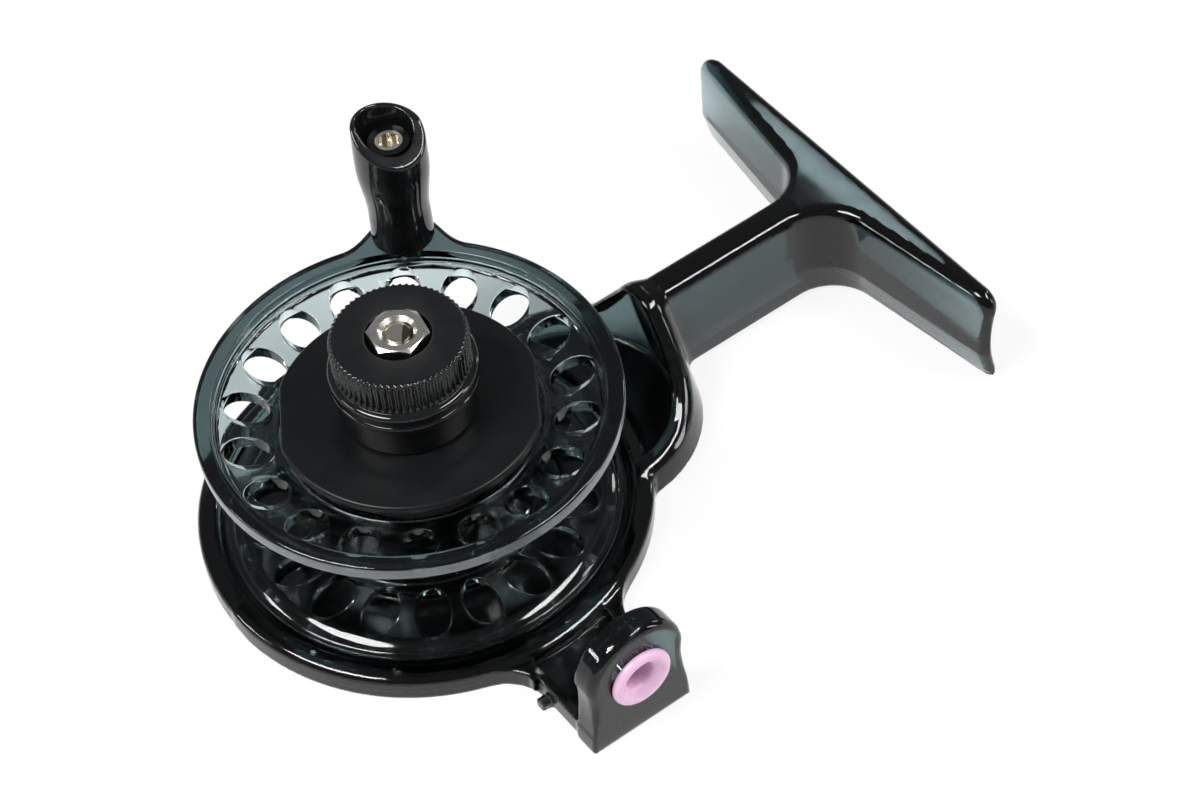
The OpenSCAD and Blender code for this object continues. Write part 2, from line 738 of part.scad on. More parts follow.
module keyed_washer() {
    color("gainsboro") translate([0, 0, keyed_z]) difference() {
        cylinder(r = keyed_r, h = keyed_t);
        translate([0, 0, -lap])
            keyed_bar(axle_r + run_clear, axle_flats + 2 * run_clear, keyed_t + 2 * lap);
    }
}

// Outline of the knob's ribbed band, one point on each rib and one in each groove
module rib_plan() {
    polygon([for (i = [0 : 2 * rib_count - 1])
        let (a = 180 * i / rib_count, r = knob_r - rib_depth * (i % 2)) [r * cos(a), r * sin(a)]]);
}

module drag_knob() {
    lip_top = knob_h - rib_h;
    lip_bottom = lip_top - lip_h;
    color("black")
        translate([0, 0, knob_z]) difference() {
            union() {
                translate([0, 0, lip_top - lap]) linear_extrude(rib_h + lap) rib_plan();
                rotate_extrude() polygon([[0, 0], [skirt_r - lip_out, 0], [skirt_r, lip_out],
                    [skirt_r, lip_bottom], [lip_r, lip_bottom + lip_out], [lip_r, lip_top - lip_out],
                    [skirt_r, lip_top], [0, lip_top]]);
            }
            translate([0, 0, -lap]) cylinder(r = cavity_r, h = cavity_h + lap);
            translate([0, 0, cavity_h - lap])
                cylinder(r = axle_r + free_clear, h = flats_hole_z - cavity_top_z + lap);
            translate([0, 0, cavity_h]) cylinder(r = thread_r + free_clear / 2, h = far);
            translate([0, 0, nut_z - knob_z]) rotate(nut_angle)
                cylinder(r = hex_r(nut_af), h = far, $fn = 6);
        }
}

// Hexagonal nut with its top corners rounded off by a cone
module drag_nut() {
    corner = hex_r(nut_af);
    ease = corner - nut_af / 2;
    color("silver")
        translate([0, 0, nut_z]) difference() {
            intersection() {
                rotate(nut_angle) cylinder(r = corner, h = nut_t, $fn = 6);
                rotate_extrude() polygon([[0, -lap], [corner + lap, -lap], [corner + lap, nut_t - ease],
                    [nut_af / 2 - lap / 4, nut_t], [0, nut_t]]);
            }
            translate([0, 0, -lap]) cylinder(r = thread_r + run_clear, h = nut_t + 2 * lap);
        }
}

// Handle: insert, washer, sleeve and screw on the spool, and the knob that turns on them

module handle_insert() {
    color("silver") at_handle() translate([0, 0, insert_z])
        ring(insert_r, screw_r, rim_top_z - insert_z);
}

module handle_washer() {
    color("gainsboro") at_handle() translate([0, 0, handle_washer_z])
        ring(handle_washer_r, screw_r, handle_washer_t);
}

module handle_sleeve() {
    color("goldenrod") at_handle() translate([0, 0, sleeve_z]) ring(sleeve_r, screw_r, sleeve_len);
}

module handle_screw() {
    color("silver")
        at_handle() difference() {
            union() {
                translate([0, 0, insert_z]) cylinder(r = screw_r, h = screw_head_z - insert_z + lap);
                translate([0, 0, screw_head_z]) cylinder(r = screw_head_r, h = screw_head_h);
            }
            translate([0, 0, screw_head_z + screw_head_h - screw_socket_h])
                cylinder(r = hex_r(screw_socket_af), h = far, $fn = 6);
        }
}

// Radius of the handle knob at height h: waist and widest part joined by an even curve
function handle_r(h) =
    handle_waist_r + (handle_wide_r - handle_waist_r)
        * (1 - cos(180 * (h - handle_waist_h) / (handle_wide_h - handle_waist_h))) / 2;

module handle_knob() {
    steps = 8;
    curve = [for (i = [0 : steps]) handle_waist_h + (handle_wide_h - handle_waist_h) * i / steps];
    color("black")
        at_handle() difference() {
            translate([0, 0, handle_z]) rotate_extrude() polygon(concat(
                [[0, 0], [handle_foot_r, 0]],
                [for (h = curve) [handle_r(h), h]],
                [[handle_top_r, handle_h], [0, handle_h]]));
            translate([0, 0, handle_z - lap]) cylinder(r = sleeve_r + run_clear, h = far);
            translate([0, 0, counterbore_z]) cylinder(r = screw_head_r + head_clear, h = far);
            rotate(handle_slope_angle - handle_angle)
                translate([-handle_top_r, -far / 2, handle_z + handle_h]) rotate([0, handle_slope, 0])
                    translate([-far / 2, 0, 0]) cube([far, far, far]);
        }
}

frame();
guide_ring();
axle();
axle_washer();
axle_clip();
thrust_washer();
spool();
lower_bush();
upper_bush();
friction_washer();
pressure_plate();
drag_spring();
keyed_washer();
drag_knob();
drag_nut();
handle_insert();
handle_washer();
handle_sleeve();
handle_screw();
handle_knob();
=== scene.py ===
import math

import bmesh
import bpy
import numpy as np
from mathutils import Matrix, Vector


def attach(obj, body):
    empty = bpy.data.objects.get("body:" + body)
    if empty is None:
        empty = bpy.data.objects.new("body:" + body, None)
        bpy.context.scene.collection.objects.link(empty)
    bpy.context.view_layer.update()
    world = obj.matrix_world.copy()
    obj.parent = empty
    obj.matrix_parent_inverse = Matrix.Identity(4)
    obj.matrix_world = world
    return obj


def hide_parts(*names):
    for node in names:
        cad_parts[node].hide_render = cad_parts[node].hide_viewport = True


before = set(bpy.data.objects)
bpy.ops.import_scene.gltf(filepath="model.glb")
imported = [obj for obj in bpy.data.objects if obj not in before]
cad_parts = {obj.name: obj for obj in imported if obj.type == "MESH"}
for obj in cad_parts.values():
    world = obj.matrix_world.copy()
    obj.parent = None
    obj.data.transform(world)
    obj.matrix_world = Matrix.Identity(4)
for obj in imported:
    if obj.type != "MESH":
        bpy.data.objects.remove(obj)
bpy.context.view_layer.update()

# Frame
# One moulding of smoky see-through plastic: the round body dish that the spool turns in, the scoop, the arm
# with the rod foot, and the bracket of the line guide. Its edges and inner corners are eased as a mould's are.
MM = 0.001
BODY_R, BODY_TOP = 30, 3.6
DISH_R, DISH_FLOOR = 27.2, 1.5
ARM_TOP, ARM_HALF, ARM_PARTING = 16.5, 2.75, 5.8
FOOT_END, FOOT_HALF = 72.8, 31
GUIDE_X, GUIDE_Z = 1.4, 10.6
GUIDE_FRONT, GUIDE_BACK = -45.2, -41.4


def eased_join(a, b, r):
    """Two forms grown together, with a fillet of radius r between them."""
    return np.maximum(r, np.minimum(a, b)) - np.hypot(np.maximum(r - a, 0), np.maximum(r - b, 0))


def eased_trim(a, b, r):
    """What two forms share, with its edge rounded to radius r."""
    return np.minimum(-r, np.maximum(a, b)) + np.hypot(np.maximum(r + a, 0), np.maximum(r + b, 0))


def body_dish(x, y, z):
    """Round dish with a raised rim, a ring groove in its floor and the boss of the axle."""
    groove_r, groove_half, groove_floor = 16.8, 1.6, 0.8
    boss_r, boss_top = 6.5, 4
    around = np.hypot(x, y)
    dish = eased_trim(eased_trim(around - BODY_R, z - BODY_TOP, 0.9), -z, 0.45)
    hollow = eased_trim(around - DISH_R, DISH_FLOOR - z, 0.7)
    dish = eased_trim(dish, -hollow, 0.7)
    groove = eased_trim(np.abs(around - groove_r) - groove_half, groove_floor - z, 0.3)
    dish = eased_trim(dish, -groove, 0.25)
    boss = np.maximum(eased_trim(around - boss_r, z - boss_top, 0.4), -z)
    return eased_join(dish, boss, 0.6)


def scoop_arm_and_foot(x, y, z):
    """Leaning scoop wall, the arm that grows out of it, and the cross foot with its saddle for the rod."""
    scoop_x, scoop_out, scoop_in = 24.4, 17.4, 14.8
    lean, upright = 0.218, 0.977
    climb_rise, climb_slant = 1.327, 0.602
    low_lip = 4.2
    beside = np.abs(y)
    from_scoop = np.hypot(x - scoop_x, y) + lean * z
    outside = (from_scoop - scoop_out) * upright
    inside = (from_scoop - scoop_in) * upright
    climb = (z - ARM_TOP + (beside - ARM_HALF) * climb_rise) * climb_slant
    lip = eased_trim(eased_join(z - low_lip, climb, 4), z - ARM_TOP, 1.2)
    scoop = eased_trim(eased_trim(outside, lip, 1.1), -z, 0.45)

    foot_face, foot_taper, foot_flare = 67.2, 0.135, 0.269
    saddle_r, saddle_x, saddle_z = 20, 91.8, 8.55
    draft = 0.03 * np.abs(z - ARM_PARTING)
    inner_face = foot_face + foot_taper * (beside - 8.75) + foot_flare * np.maximum(ARM_PARTING - z, 0)
    plan = eased_join(beside - ARM_HALF + draft, (inner_face - x) * 0.98, 6)
    plan = eased_trim(plan, x - FOOT_END, 0.6)
    plan = eased_trim(plan, saddle_r - np.hypot(x - saddle_x, z - saddle_z), 0.5)
    upper = eased_trim(beside - FOOT_HALF, z - ARM_TOP, 3)
    arm = eased_trim(eased_trim(plan, upper, 1.5), 0.6 - z, 0.5)
    arm = np.maximum(arm, 32 - x)

    grown = eased_join(scoop, arm, 1.5)
    hollow = eased_trim(inside, DISH_FLOOR - z, 0.9)
    return eased_trim(grown, -hollow, 1.0)


def guide_bracket(x, y, z):
    """Tab with thin side walls that carries the upright guide plate, with a small peg and block beside it."""
    tab_half, tab_top, tab_end = 7.2, 3, -44.5
    well_half, well_start = 5.8, 30.2
    arch_z, arch_r, hole_r = 11.4, 7.2, 3.2
    across = np.abs(x - GUIDE_X)
    around = np.hypot(x, y)
    tab = eased_join(around - BODY_R, across - tab_half, 5)
    tab = eased_trim(eased_trim(tab, z - tab_top, 0.4), -z, 0.3)
    tab = np.maximum(np.maximum(tab, tab_end - y), y)
    well = np.maximum(np.maximum(across - well_half, GUIDE_BACK - y), well_start - around)
    tab = eased_trim(tab, -eased_trim(well, DISH_FLOOR - z, 0.3), 0.3)
    half_width = 7.22 + 0.27 * np.cos(math.pi * np.clip(z, 0, arch_z) / 8)
    arch = np.where(z > arch_z, np.hypot(across, z - arch_z) - arch_r, across - half_width)
    front_ease = 0.35 + 0.75 * np.clip((z - 4) / 5, 0, 1)
    plate = eased_trim(eased_trim(arch, GUIDE_FRONT - y, front_ease), y - GUIDE_BACK, 0.5)
    plate = eased_trim(plate, -z, 0.15)
    hole = eased_trim(np.hypot(x - GUIDE_X, z - GUIDE_Z) - hole_r, y + 39, 0.1)
    peg = np.maximum(np.maximum(np.abs(x + 6.3) - 0.5, np.abs(y + 33) - 0.6), np.abs(z - 2.6) - 1.2)
    block = np.maximum(np.maximum(np.abs(x + 6.4) - 0.8, np.abs(y + 35.2) - 0.8), np.abs(z - 0.7) - 0.7)
    bracket = eased_join(tab, plate, 0.6)
    bracket = eased_join(eased_join(bracket, peg, 0.25), block, 0.25)
    return eased_trim(bracket, -hole, 0.2)


def frame_form(x, y, z):
    """Signed distance of the whole moulding in millimetres, below zero inside it."""
    spool_room, axle_bore, head_half, head_deep = 28.2, 3.0, 4.0, 2.0
    around = np.hypot(x, y)
    grown = eased_join(scoop_arm_and_foot(x, y, z), guide_bracket(x, y, z), 0.8)
    grown = np.maximum(grown, spool_room - around)
    whole = eased_join(body_dish(x, y, z), grown, 0.8)
    whole = np.maximum(whole, axle_bore - around)
    turn = math.radians(60)
    flats = np.abs(y)
    for side in (-1, 1):
        flats = np.maximum(flats, np.abs(y * math.cos(turn) + side * x * math.sin(turn)))
    return np.maximum(whole, -np.maximum(flats - head_half, z - head_deep))


def as_piece(name, points, faces):
    """New object in the scene, from points in millimetres and faces."""
    mesh = bpy.data.meshes.new(name)
    mesh.from_pydata((np.array(points, float) * MM).tolist(), [], faces)
    mesh.update()
    piece = bpy.data.objects.new(name, mesh)
    bpy.context.scene.collection.objects.link(piece)
    return piece


def moulded(name, form, low, high, step):
    """Mesh of a form's surface between two corners: one point in each grid cell that the surface crosses."""
    axes = [np.arange(a - 2.3 * step, b + 3 * step, step) for a, b in zip(low, high)]
    field = form(*np.meshgrid(*axes, indexing="ij"))
    cells = tuple(n - 1 for n in field.shape)
    total = np.zeros(cells + (3,))
    count = np.zeros(cells)
    crossings = []
    for axis in range(3):
        u, v = [a for a in range(3) if a != axis]
        first = np.take(field, range(field.shape[axis] - 1), axis)
        second = np.take(field, range(1, field.shape[axis]), axis)
        edge = np.argwhere((first < 0) != (second < 0))
        a = first[tuple(edge.T)]
        b = second[tuple(edge.T)]
        place = np.stack([axes[k][edge[:, k]] for k in range(3)], 1)
        place[:, axis] += step * a / (a - b)
        keep = np.ones(len(edge), bool)
        for k in (u, v):
            keep &= (edge[:, k] > 0) & (edge[:, k] < field.shape[k] - 1)
        edge, place, a = edge[keep], place[keep], a[keep]
        around = []
        for du, dv in ((-1, -1), (0, -1), (0, 0), (-1, 0)):
            cell = edge.copy()
            cell[:, u] += du
            cell[:, v] += dv
            around.append(cell)
            np.add.at(total, tuple(cell.T), place)
            np.add.at(count, tuple(cell.T), 1)
        crossings.append((around, (a < 0) != (axis == 1)))
    used = count > 0
    number = np.full(cells, -1)
    number[used] = np.arange(used.sum())
    points = total[used] / count[used][:, None]
    quads = []
    for around, outward in crossings:
        ring = np.stack([number[tuple(cell.T)] for cell in around], 1)
        quads.append(np.where(outward[:, None], ring, ring[:, ::-1]))

    def slope(p):
        e = 0.01
        return np.stack([(form(*(p + e * d).T) - form(*(p - e * d).T)) / (2 * e) for d in np.eye(3)], 1)

    for _ in range(4):
        g = slope(points)
        move = -form(*points.T) / np.maximum((g * g).sum(1), 0.3)
        points = np.clip(points + np.clip(move, -step / 2, step / 2)[:, None] * g, low, high)
    normals = slope(points)
    normals /= np.maximum(np.linalg.norm(normals, axis=1), 1e-9)[:, None]
    piece = as_piece(name, points, np.concatenate(quads).tolist())
    piece.data.shade_smooth()
    piece.data.normals_split_custom_set_from_vertices(normals.tolist())
    return piece


class Tone:
    """A socket of a material's nodes, with arithmetic that adds Math nodes."""

    def __init__(self, finish, socket):
        self.finish = finish
        self.socket = socket

    def math(self, operation, *values):
        return self.finish.node("ShaderNodeMath", {"operation": operation}, dict(enumerate(values)))

    def above(self, limit):
        return self.math("GREATER_THAN", self, limit)

    def below(self, limit):
        return self.math("LESS_THAN", self, limit)

    def __add__(self, other):
        return self.math("ADD", self, other)

    def __sub__(self, other):
        return self.math("SUBTRACT", self, other)

    def __mul__(self, other):
        return self.math("MULTIPLY", self, other)

    def __rsub__(self, other):
        return self.math("SUBTRACT", other, self)

    __radd__ = __add__
    __rmul__ = __mul__


class Finish:
    """A material, with a short way to add nodes to it."""

    def __init__(self, name, colour, roughness, metallic=0.0):
        self.material = bpy.data.materials.new(name)
        self.material.use_nodes = True
        self.tree = self.material.node_tree
        self.shader = self.tree.nodes["Principled BSDF"]
        self.set("Base Color", colour)
        self.set("Roughness", roughness)
        self.set("Metallic", metallic)

    def feed(self, socket, value):
        if isinstance(value, Tone):
            self.tree.links.new(value.socket, socket)
        else:
            if socket.type == "RGBA" and len(value) == 3:
                value = tuple(value) + (1.0,)
            socket.default_value = value

    def node(self, kind, settings, inputs, output=0):
        made = self.tree.nodes.new(kind)
        for key, value in settings.items():
            setattr(made, key, value)
        for key, value in inputs.items():
            self.feed(made.inputs[key], value)
        return Tone(self, made.outputs[output])

    def set(self, name, value):
        self.feed(self.shader.inputs[name], value)

    def to_output(self, name, tone):
        self.feed(self.tree.nodes["Material Output"].inputs[name], tone)

    def spot(self, stretch=(1, 1, 1)):
        """Point of the object in millimetres, stretched along its axes."""
        place = self.node("ShaderNodeTexCoord", {}, {}, "Object")
        scale = tuple(1000 * s for s in stretch)
        return self.node("ShaderNodeVectorMath", {"operation": "MULTIPLY"}, {0: place, 1: scale})

    def axes(self):
        """The x, y and z of that point."""
        return [self.node("ShaderNodeSeparateXYZ", {}, {0: self.spot()}, k) for k in range(3)]

    def noise(self, scale, detail=3.0, stretch=(1, 1, 1)):
        inputs = {"Vector": self.spot(stretch), "Scale": scale, "Detail": detail}
        return self.node("ShaderNodeTexNoise", {}, inputs)

    def blend(self, share, a, b):
        return self.node("ShaderNodeMix", {"data_type": "RGBA"}, {0: share, 6: a, 7: b}, 2)

    def cover(self, share, shader):
        """Mixes another shader over the finish's own, and sends both to the surface."""
        own = Tone(self, self.shader.outputs[0])
        self.to_output("Surface", self.node("ShaderNodeMixShader", {}, {0: share, 1: own, 2: shader}))

    def bump(self, height, strength, depth):
        made = self.node("ShaderNodeBump", {}, {"Height": height, "Strength": strength, "Distance": depth * MM})
        self.set("Normal", made)


CLEAR_TINT = (0.90, 0.95, 0.955)


def see_through(name, absorbed, density):
    """Clear smoky plastic that darkens with its thickness, with faint flow marks from the mould."""
    finish = Finish(name, CLEAR_TINT, 0.05)
    finish.set("Roughness", finish.noise(0.35, 2) * 0.07 + 0.02)
    finish.set("IOR", 1.49)
    finish.set("Transmission Weight", 1.0)
    finish.bump(finish.noise(0.12, 2), 0.05, 0.15)
    tint = finish.node("ShaderNodeVolumeAbsorption", {}, {"Color": absorbed, "Density": density}, "Volume")
    finish.to_output("Volume", tint)
    return finish


frame_plastic = see_through("smoke_plastic_frame", (0.10, 0.25, 0.27), 610).material


def dressed(piece, material, body, node):
    """Gives a piece its finish, and ties it to the body that it moves with and the node that it stands for."""
    piece.data.materials.clear()
    piece.data.materials.append(material)
    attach(piece, body)
    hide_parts(node)


FRAME_GRID = 0.42
reel_frame = moulded(
    "reel_frame", frame_form, (-BODY_R, GUIDE_FRONT, 0), (FOOT_END, FOOT_HALF, 18.6), FRAME_GRID)
dressed(reel_frame, frame_plastic, "frame", "frame")

# Guide ring
# Pink gloss plastic ring pressed into the guide plate, with a rounded flange and a funnel mouth for the line.
RING_STEPS = 64
RING_MIDDLE = (GUIDE_X, -43.3, GUIDE_Z)


def looped(name, rows):
    """Closed piece from rows of points, each row a ring, and the last row joined to the first."""
    width = len(rows[0])
    faces = []
    for i in range(len(rows)):
        low, high = i * width, (i + 1) % len(rows) * width
        for k in range(width):
            n = (k + 1) % width
            faces.append((low + k, low + n, high + n, high + k))
    return as_piece(name, [point for row in rows for point in row], faces)


def eased(corners, steps=5, closed=False):
    """Outline with each (radius, height, ease) corner replaced by an arc."""
    out = []
    count = len(corners)
    for k, (x, y, ease) in enumerate(corners):
        here = np.array((x, y), float)
        if ease <= 0 or (not closed and k in (0, count - 1)):
            out.append((x, y))
            continue
        before = np.array(corners[k - 1][:2], float) - here
        after = np.array(corners[(k + 1) % count][:2], float) - here
        before /= np.linalg.norm(before)
        after /= np.linalg.norm(after)
        half = math.acos(max(-1.0, min(1.0, float(before @ after)))) / 2
        reach = ease / math.tan(half)
        centre = here + (before + after) / np.linalg.norm(before + after) * ease / math.sin(half)
        start = here + before * reach - centre
        stop = here + after * reach - centre
        sweep = math.pi - 2 * half
        for i in range(steps + 1):
            t = i / steps
            mixed = (np.sin((1 - t) * sweep) * start + np.sin(t * sweep) * stop) / math.sin(sweep)
            out.append(tuple(centre + mixed))
    return out


ring_outline = eased([
    (2.0, -1.9, 0.2), (3.2, -1.9, 0.1), (3.2, 1.95, 0.05), (4.3, 1.95, 0.35), (4.3, 3.1, 0.7),
    (3.3, 3.1, 0.4), (2.0, 2.1, 0.8)], closed=True)
ring_turns = np.arange(RING_STEPS) * 2 * math.pi / RING_STEPS
guide_ring = looped("guide_ring_look", [
    [(radius * math.cos(t), radius * math.sin(t), height) for t in ring_turns] for radius, height in ring_outline])
guide_ring.data.shade_smooth()
guide_ring.data.transform(Matrix.Rotation(math.radians(90), 4, "X"))
guide_ring.data.transform(Matrix.Translation(Vector(RING_MIDDLE) * MM))
pink = Finish("pink_plastic", (0.77, 0.38, 0.62), 0.3)
pink.set("Base Color", pink.blend(pink.noise(0.5), (0.65, 0.385, 0.555), (0.745, 0.505, 0.665)))
pink.set("Roughness", pink.noise(1.5) * 0.12 + 0.2)
pink.set("Subsurface Weight", 0.15)
pink.set("Subsurface Scale", 0.001)
dressed(guide_ring, pink.material, "frame", "guide_ring")

# Metal, nylon and felt of the small fittings
# The axle with its washers and ring, the bushes, the friction washer, the spring and the handle's fittings
# keep the shape of their solids. Turned metal has fine rings, and plated metal a slight blotch.
STEEL_COLOUR = (0.68, 0.65, 0.60)
HANDLE_TURN = math.radians(56.5)
HANDLE_OUT = 28.0
HANDLE_X = HANDLE_OUT * math.cos(HANDLE_TURN)
HANDLE_Y = HANDLE_OUT * math.sin(HANDLE_TURN)


def metal(name, colour, rough, streak):
    """Plain metal, lighter and darker in patches, with fine rings round its axis."""
    finish = Finish(name, colour, rough, 1.0)
    light = tuple(min(1.0, c * 1.15) for c in colour)
    dark = tuple(c * 0.8 for c in colour)
    finish.set("Base Color", finish.blend(finish.noise(0.8), dark, light))
    fine = finish.noise(2.0, 4, (1, 1, streak))
    finish.set("Roughness", fine * 0.2 + rough - 0.1)
    finish.bump(fine, 0.04, 0.02)
    return finish.material


steel = metal("steel", STEEL_COLOUR, 0.24, 8)
spring_steel = metal("spring_steel", (0.42, 0.42, 0.43), 0.38, 3)
bronze = metal("bronze", (0.62, 0.44, 0.22), 0.36, 6)

nylon_finish = Finish("nylon", (0.85, 0.83, 0.76), 0.5)
nylon_cloud = nylon_finish.noise(0.7)
nylon_finish.set("Base Color", nylon_finish.blend(nylon_cloud, (0.80, 0.78, 0.70), (0.88, 0.86, 0.80)))
nylon_finish.set("Roughness", nylon_finish.noise(2) * 0.2 + 0.4)
nylon = nylon_finish.material

felt_finish = Finish("drag_felt", (0.34, 0.29, 0.22), 0.9)
fibres = felt_finish.noise(6, 6)
felt_finish.set("Base Color", felt_finish.blend(fibres, (0.26, 0.22, 0.16), (0.42, 0.36, 0.28)))
felt_finish.bump(fibres, 0.5, 0.1)
drag_felt = felt_finish.material

# The handle screw's head is dark and its socket darker brown, with a painted highlight as a bright edge round the
# socket
SOCKET_R, SOCKET_EDGE_R = 1.3, 1.8
screw = Finish("screw_steel", STEEL_COLOUR, 0.3, 1.0)
screw_x, screw_y, _ = screw.axes()
off_x, off_y = screw_x - HANDLE_X, screw_y - HANDLE_Y
off_axis = off_x * off_x + off_y * off_y
# Painted highlight: a bright ring between the socket and the dark head
head_with_painted_edge = screw.blend(off_axis.above(SOCKET_EDGE_R ** 2), (0.86, 0.83, 0.76), (0.05, 0.047, 0.042))
screw.set("Base Color", screw.blend(off_axis.above(SOCKET_R ** 2), (0.20, 0.17, 0.12), head_with_painted_edge))
screw.set("Roughness", screw.noise(2.0, 4) * 0.2 + 0.2)
screw_steel = screw.material

# The axle's cut end has painted shade on one side: that half is coloured dark
CUT_END_Z, SHADE_FROM = 34.0, 0.55
cut_end = Finish("axle_steel", STEEL_COLOUR, 0.24, 1.0)
axle_x, axle_y, axle_z = cut_end.axes()
# Painted shade: the half of the cut end beyond this line is coloured dark
painted_shade_half = (axle_x * 0.785 - axle_y * 0.62).above(SHADE_FROM) * axle_z.above(CUT_END_Z)
cut_end.set("Base Color", cut_end.blend(painted_shade_half, (0.60, 0.56, 0.48), (0.13, 0.115, 0.09)))
cut_end.set("Roughness", cut_end.noise(2.0, 4) * 0.2 + 0.2)
axle_steel = cut_end.material

kept_nodes = {
    "axle": axle_steel, "axle_washer": steel, "axle_clip": spring_steel, "thrust_washer": nylon,
    "lower_bush": bronze, "upper_bush": bronze, "friction_washer": drag_felt, "drag_spring": spring_steel,
    "keyed_washer": steel, "handle_insert": steel, "handle_washer": steel, "handle_sleeve": bronze,
    "handle_screw": screw_steel,
}
for node, material in kept_nodes.items():
    for material_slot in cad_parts[node].material_slots:
        material_slot.link = "OBJECT"
        material_slot.material = material

# Spool
# One moulding of the same smoky plastic: a drum between two flanges, each with a ring of oval holes, and a lug
# on the upper rim for the handle. One sector with one hole of each ring is drawn and repeated round the axle.
# The thick rim's colour is darkened with painted shade, so it looks darker than the webs, and its outer wall has a
# grey diffuse layer in blotches, painted light that stands in for light coming through the rim.
HOLES = 18
HOLE_TURN = math.radians(1.5)
COLUMNS = 32
SIDE_ROWS = 10
DRUM_R = 14.5
RIM_R, RIM_TOP, RIM_LOW = 27.5, 23.2, 20.95
UPPER_IN, UPPER_OUT, UPPER_THICK = 17.7, 24.6, 1.9
LOWER_IN, LOWER_OUT, LOWER_TOP, LOWER_LOW = 15.1, 23.3, 3.1, 1.9
LUG_R, LUG_FILLET = 4.7, 4

spool_finish = see_through("smoke_plastic", (0.10, 0.22, 0.23), 430)
spool_x, spool_y, spool_z = spool_finish.axes()
from_axis = spool_x.math("SQRT", spool_x * spool_x + spool_y * spool_y)
# Painted shade: the rim's colour is darker than the webs' colour
rim_painted_shade = from_axis.above(25.2) * spool_z.above(20.5)
spool_finish.set("Base Color", spool_finish.blend(rim_painted_shade, CLEAR_TINT, (0.18, 0.235, 0.245)))
# Painted light: a grey diffuse layer in blotches on the rim's outer wall stands in for light coming through the
# rim
rim_wall = from_axis.above(27.4) * spool_z.above(21.15) * spool_z.below(22.9)
painted_glow = spool_finish.node("ShaderNodeBsdfDiffuse", {}, {"Color": (0.52, 0.57, 0.58)})
spool_finish.cover(rim_wall * (spool_finish.noise(0.25, 3) * 0.16 + 0.13), painted_glow)
smoke_plastic = spool_finish.material


def holed_web(inner, outer, hole_in, hole_out, hole_w, ease, top, bottom):
    """Loops of (radius, angle, height) from the sector's border over the top, through an oval hole and back."""
    edge = math.pi / HOLES
    turn = np.linspace(-edge, edge, COLUMNS + 1)
    rows = np.linspace(inner, outer, SIDE_ROWS + 1)
    border = [(inner, t) for t in turn[:-1]] + [(r, edge) for r in rows[:-1]]
    border += [(outer, t) for t in turn[:0:-1]] + [(r, -edge) for r in rows[:0:-1]]
    border = np.array(border)
    mid, half_long, half_wide = (hole_in + hole_out) / 2, (hole_out - hole_in) / 2, hole_w / 2
    toward = np.arctan2((border[:, 0] - mid) / half_long, border[:, 1] * mid / half_wide)

    def oval(grow):
        along = mid + (half_long + grow) * np.sin(toward)
        aside = (half_wide + grow) * np.cos(toward)
        return np.stack([np.hypot(along, aside), np.arctan2(aside, along)], 1)

    def at(flat, height):
        return np.column_stack([flat, height])

    soft = 0.29 * ease
    near = oval(ease)
    halfway = (border + near) / 2
    loops = [at(flat, top(flat[:, 0])) for flat in (border, halfway, near)]
    for grow, down in ((soft, soft), (0, ease)):
        flat = oval(grow)
        loops.append(at(flat, top(flat[:, 0]) - down))
    for grow, up in ((0, ease), (soft, soft), (ease, 0)):
        flat = oval(grow)
        loops.append(at(flat, bottom(flat[:, 0]) + up))
    loops += [at(flat, bottom(flat[:, 0])) for flat in (halfway, border)]
    return loops


def sector_mesh(name, strips, webs, count, columns, grids=()):
    """Mesh of one sector from strips of (radius, height) and from the loops of holed webs."""
    points, faces = [], []

    def add(grid, round_it):
        start = len(points)
        rows, width = len(grid), len(grid[0])
        points.extend(p for row in grid for p in row)
        for i in range(rows - 1):
            for k in range(width if round_it else width - 1):
                n = (k + 1) % width
                a = start + i * width
                faces.append((a + k, a + n, a + width + n, a + width + k))

    edge = math.pi / count
    for strip in strips:
        add([[(r, t, z) for t in np.linspace(-edge, edge, columns + 1)] for r, z in strip], False)
    for grid in grids:
        add(grid, False)
    for loops in webs:
        add([[tuple(p) for p in loop] for loop in loops], True)
    mesh = bpy.data.meshes.new(name)
    mesh.from_pydata([(r * MM * math.cos(t), r * MM * math.sin(t), z * MM) for r, t, z in points], [], faces)
    mesh.update()
    return mesh


